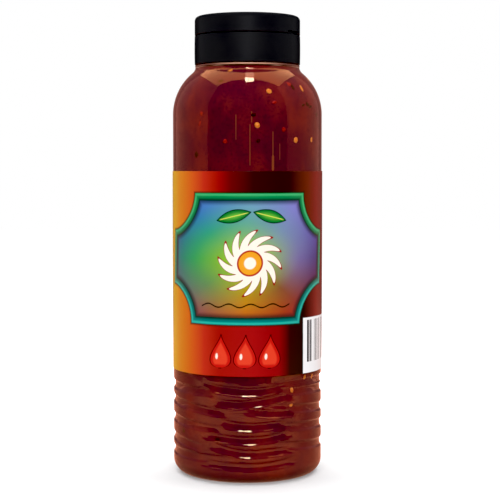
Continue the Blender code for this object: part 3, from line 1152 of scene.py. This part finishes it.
angles = np.radians(np.arange(0, 360, 4.0))
round_sheet = TABLE_REACH * np.stack([np.cos(angles), np.sin(angles)], axis=1)
edge = np.radians(np.linspace(-90 - 62, -90 + 62, 60))
front_radius = 0.40
front_edge = np.stack([front_radius * np.cos(edge), front_radius - TABLE_FRONT + front_radius * np.sin(edge)], axis=1)
near_sheet = np.vstack([front_edge, [[0.62, 0.62], [-0.62, 0.62]]])
TABLE = flat_sheet("table", round_sheet, 0.0, pale_table())
SOFT = flat_sheet("table_soft", near_sheet, -0.3 * MM, soft_table())
MIRRORED = flat_sheet("table_mirrored", near_sheet, -0.6 * MM, mirrored_table())
for sheet, seen in ((TABLE, "camera"), (SOFT, "diffuse"), (MIRRORED, "glossy")):
    for way in ("camera", "diffuse", "glossy", "transmission", "shadow"):
        setattr(sheet, "visible_" + way, way == seen)
print("the three sheets of the table are", [len(sheet.data.polygons) for sheet in (TABLE, SOFT, MIRRORED)], "faces")

# %% [markdown]
# The studio
#
# The light is a white tent, open in front: two side walls, a back wall and a bright ceiling, with a
# narrow lamp under it. The plastic mirrors all of them, so their edges are what draws the bottle's form:
# the walls give its brown flanks, the ceiling the light patch on the shoulder, and the open front the
# deep red middle. The panels are area lights, which the camera itself doesn't see.

# %% Lights
TENT_HALF = 0.40
TENT_TOP = 0.70
TENT_FRONT = 0.231
TENT_BACK = 0.50
CEILING_FRONT = 0.16
BLACK_LEVEL = 0.012
WHITE = (1.0, 1.0, 1.0)
WALL_TINT = (1.0, 0.42, 0.33)
CEILING_TINT = (1.0, 0.56, 0.29)
LAMP_TINT = (0.6, 0.8, 1.0)
WALL_GAP = 0.008
LAMP_X = 0.02


def panel(name, middle, size, turn, radiance, colour=WHITE, seen_by=("diffuse", "glossy")):
    """An area light of this size. Its power is what gives the radiance: radiance * pi * area."""
    lamp = bpy.data.lights.new(name, "AREA")
    lamp.shape = "RECTANGLE"
    lamp.size, lamp.size_y = size
    lamp.energy = radiance * math.pi * size[0] * size[1]
    lamp.color = colour
    light = bpy.data.objects.new(name, lamp)
    light.location = middle
    light.rotation_euler = [math.radians(angle) for angle in turn]
    for way in ("camera", "diffuse", "glossy", "transmission"):
        setattr(light, "visible_" + way, way in seen_by)
    bpy.context.scene.collection.objects.link(light)
    return light


def only_for(light, *pieces):
    """The light falls on these pieces alone."""
    group = bpy.data.collections.new(light.name + "_receivers")
    for piece in pieces:
        group.objects.link(piece)
    light.light_linking.receiver_collection = group


wall_middle_y = (TENT_BACK - TENT_FRONT) / 2
wall_size = (TENT_TOP, TENT_FRONT + TENT_BACK)
back_size = (2 * TENT_HALF, TENT_TOP)
ceiling_size = (2 * TENT_HALF, TENT_BACK + CEILING_FRONT)
lamp_depth = 0.30
# The panels for soft light hang 4 mm behind those for reflections, so that no two lie in one plane
soft, mirrored = [], []
for lights, way, wall_tint, ceiling_tint, behind in (
    (soft, "diffuse", WHITE, WHITE, 4 * MM),
    (mirrored, "glossy", WALL_TINT, CEILING_TINT, 0.0),
):
    for side in (-1, 1):
        place = (side * (TENT_HALF + behind), wall_middle_y, TENT_TOP / 2 - WALL_GAP)
        lights.append(panel("wall_" + way, place, wall_size, (0, side * 90, 0), 0.85, wall_tint, (way,)))
    place = (0, TENT_BACK + behind, TENT_TOP / 2)
    lights.append(panel("back_" + way, place, back_size, (-90, 0, 0), 0.4, wall_tint, (way,)))
    place = (0, (TENT_BACK - CEILING_FRONT) / 2, TENT_TOP + behind)
    lights.append(panel("ceiling_" + way, place, ceiling_size, (0, 0, 0), 3.9, ceiling_tint, (way,)))
place = (LAMP_X, lamp_depth / 2 - CEILING_FRONT, TENT_TOP - 0.01)
mirrored.append(panel("lamp", place, (0.076, lamp_depth), (0, 0, 0), 4.0, WHITE, ("glossy",)))
place = (LAMP_X, -CEILING_FRONT - 0.005, TENT_TOP - 0.02)
mirrored.append(panel("lamp_end", place, (0.08, 0.10), (0, 0, 0), 50.0, LAMP_TINT, ("glossy",)))
for light in mirrored:
    only_for(light, BOTTLE, LABEL, RING)
cap_lights = [panel("cap_front", (0, -0.9, 0.33), (0.30, 0.16), (84, 0, 0), 4.0, (0.9, 0.93, 1.0), ("glossy",))]
for side in (-1, 1):
    place = (side * 0.38, 0.05, 0.27)
    cap_lights.append(panel("cap_side", place, (0.2, 0.5), (0, side * 90, 0), 0.35, WHITE, ("glossy",)))
for light in cap_lights:
    only_for(light, SKIRT, LID, STRAP, RING)
panel("front_fill", (0, -0.95, 0.45), (0.9, 0.6), (70, 0, 0), 6.0, WHITE, ("diffuse",))


# %% The white round the studio
def studio_white():
    """White for the lens, a dim warm glow through the clear plastic, and nearly dark elsewhere."""
    world = bpy.data.worlds.new("studio")
    bpy.context.scene.world = world
    world.use_nodes = True
    tree = world.node_tree
    background = tree.nodes["Background"]
    paths = tree.nodes.new("ShaderNodeLightPath")
    seen = Wire(tree, paths.outputs["Is Camera Ray"])
    through = Wire(tree, paths.outputs["Is Transmission Ray"])
    colour = through.over((0.015, 0.015, 0.016, 1.0), (0.42, 0.24, 0.18, 1.0))
    seen.over(colour, (1.0, 1.0, 1.0, 1.0)).into(background, "Color")
    return world


studio_white()
view = bpy.context.scene.view_settings
view.view_transform = "Standard"
view.use_curve_mapping = True
view.curve_mapping.black_level = (BLACK_LEVEL, BLACK_LEVEL, BLACK_LEVEL)
view.curve_mapping.update()

# %% [markdown]
# The camera
#
# The lens stands a little above the label's top edge and looks down by about three degrees, which is
# why the cap's underside never shows and the base curves. A long lens keeps the bottle's sides parallel.

# %% The camera
IMAGE_WIDTH = 500
FOCAL_PIXELS = 1400
CAMERA_PLACE = (1.4 * MM, -753 * MM, 163.6 * MM)
LOOKS_DOWN = 3.35

lens = bpy.data.cameras.new("camera")
lens.sensor_width = 36.0
lens.lens = lens.sensor_width * FOCAL_PIXELS / IMAGE_WIDTH
camera = bpy.data.objects.new("camera", lens)
camera.location = CAMERA_PLACE
camera.rotation_euler = (math.radians(90 - LOOKS_DOWN), 0.0, 0.0)
bpy.context.scene.collection.objects.link(camera)
bpy.context.scene.camera = camera
print("lens of", round(lens.lens, 1), "mm")

# %% The scene brought up to date
bpy.context.view_layer.update()
